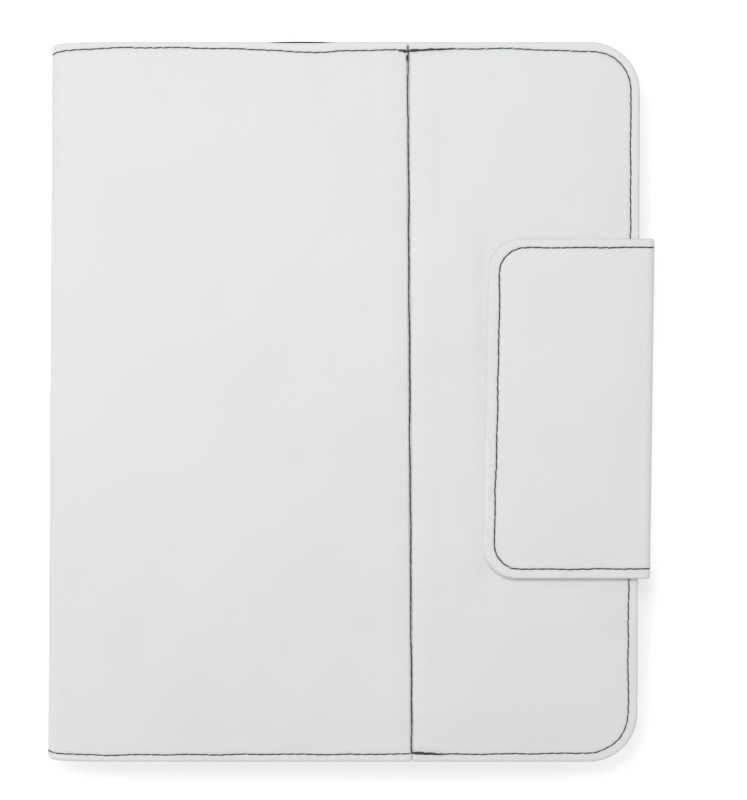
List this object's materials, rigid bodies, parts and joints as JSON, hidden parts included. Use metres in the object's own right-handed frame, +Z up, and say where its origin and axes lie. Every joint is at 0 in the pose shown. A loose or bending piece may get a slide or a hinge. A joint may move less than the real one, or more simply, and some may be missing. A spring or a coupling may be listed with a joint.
{
  "type": "tablet keyboard case",
  "caption": "Folding folio case for a ten inch tablet, with a keyboard in its base, a padded cover that folds back as a stand, and a closing strap with a magnetic tongue.",
  "frame": {"origin": "middle of the closed case's box, on the surface that the base lies on", "axes": "+X from the spine to the free edge, +Y along the spine, +Z up out of the cover"},
  "size_m": [0.2084, 0.249, 0.03],
  "materials": {
    "white_leather": "fine grain, satin",
    "black_lining": "brushed microfibre",
    "greyboard": "pressed board",
    "foam": "soft foam",
    "black_plastic": "fine spark texture",
    "key_plastic": "matte",
    "plate_steel": "rolled sheet",
    "membrane_film": "clear film with printed tracks",
    "dome_rubber": "moulded silicone",
    "circuit_laminate": "solder mask",
    "battery_foil": "pouch foil",
    "socket_steel": "stamped",
    "clear_lens": "translucent",
    "magnet": "nickel plated"
  },
  "bodies": {
    "base": {"base_skin": "white_leather", "base_board": "greyboard", "base_lining": "black_lining", "strap_anchor": "white_leather", "keyboard_bottom_case": "black_plastic", "keyboard_top_case": "black_plastic", "key_plate": "plate_steel", "membrane": "membrane_film", "dome_sheet": "dome_rubber", "circuit_board": "circuit_laminate", "battery_cell": "battery_foil", "charging_socket": "socket_steel", "indicator_lenses": "clear_lens"},
    "function_keys": {"function_keys": "key_plastic"},
    "number_keys": {"number_keys": "key_plastic"},
    "upper_keys": {"upper_keys": "key_plastic"},
    "home_keys": {"home_keys": "key_plastic"},
    "lower_keys": {"lower_keys": "key_plastic"},
    "bottom_keys": {"bottom_keys": "key_plastic"},
    "space_bar": {"space_bar": "key_plastic"},
    "power_switch": {"power_switch": "key_plastic"},
    "connect_button": {"connect_button": "key_plastic"},
    "spine": {"spine_skin": "white_leather", "spine_board": "greyboard", "spine_lining": "black_lining"},
    "cover": {"cover_skin": "white_leather", "cover_padding": "foam", "cover_board": "greyboard", "cover_lining": "black_lining", "tray_adhesive": "foam", "tablet_tray": "black_plastic", "tray_pads": "foam"},
    "stand": {"stand_skin": "white_leather", "stand_padding": "foam", "stand_board": "greyboard", "stand_lining": "black_lining", "catch_plates": "plate_steel"},
    "strap": {"strap_skin": "white_leather", "strap_board": "greyboard", "strap_lining": "black_lining"},
    "tongue": {"tongue_skin": "white_leather", "tongue_board": "greyboard", "tongue_lining": "black_lining", "tongue_magnets": "magnet"}
  },
  "joints": [
    {"name": "spine_lower_fold", "type": "hinge", "parent": "base", "child": "spine", "pos_m": [-0.1027, 0, 0.0015], "axis": [0, -1, 0], "range_deg": [0, 90]},
    {"name": "spine_upper_fold", "type": "hinge", "parent": "spine", "child": "cover", "pos_m": [-0.1027, 0, 0.02515], "axis": [0, -1, 0], "range_deg": [0, 90]},
    {"name": "stand_fold", "type": "hinge", "parent": "cover", "child": "stand", "pos_m": [0.0205, 0, 0.02585], "axis": [0, 1, 0], "range_deg": [-130, 0]},
    {"name": "strap_side_fold", "type": "hinge", "parent": "base", "child": "strap", "pos_m": [0.1027, -0.0024, 0.0015], "axis": [0, 1, 0], "range_deg": [0, 90]},
    {"name": "tongue_fold", "type": "hinge", "parent": "strap", "child": "tongue", "pos_m": [0.1027, -0.0024, 0.02845], "axis": [0, 1, 0], "range_deg": [0, 90]},
    {"name": "function_key_press", "type": "slide", "parent": "base", "child": "function_keys", "axis": [0, 0, -1], "range_m": [0, 0.0012], "stiffness_N_per_m": 300, "springref_m": -0.002, "deforming": ["dome_sheet"]},
    {"name": "number_key_press", "type": "slide", "parent": "base", "child": "number_keys", "axis": [0, 0, -1], "range_m": [0, 0.0012], "stiffness_N_per_m": 300, "springref_m": -0.002, "deforming": ["dome_sheet"]},
    {"name": "upper_key_press", "type": "slide", "parent": "base", "child": "upper_keys", "axis": [0, 0, -1], "range_m": [0, 0.0012], "stiffness_N_per_m": 300, "springref_m": -0.002, "deforming": ["dome_sheet"]},
    {"name": "home_key_press", "type": "slide", "parent": "base", "child": "home_keys", "axis": [0, 0, -1], "range_m": [0, 0.0012], "stiffness_N_per_m": 300, "springref_m": -0.002, "deforming": ["dome_sheet"]},
    {"name": "lower_key_press", "type": "slide", "parent": "base", "child": "lower_keys", "axis": [0, 0, -1], "range_m": [0, 0.0012], "stiffness_N_per_m": 300, "springref_m": -0.002, "deforming": ["dome_sheet"]},
    {"name": "bottom_key_press", "type": "slide", "parent": "base", "child": "bottom_keys", "axis": [0, 0, -1], "range_m": [0, 0.0012], "stiffness_N_per_m": 300, "springref_m": -0.002, "deforming": ["dome_sheet"]},
    {"name": "space_bar_press", "type": "slide", "parent": "base", "child": "space_bar", "axis": [0, 0, -1], "range_m": [0, 0.0012], "stiffness_N_per_m": 300, "springref_m": -0.002, "deforming": ["dome_sheet"]},
    {"name": "power_switch_slide", "type": "slide", "parent": "base", "child": "power_switch", "axis": [0, 1, 0], "range_m": [0, 0.003]},
    {"name": "connect_button_press", "type": "slide", "parent": "base", "child": "connect_button", "axis": [0, 0, -1], "range_m": [0, 0.0005], "stiffness_N_per_m": 400, "springref_m": -0.001}
  ]
}
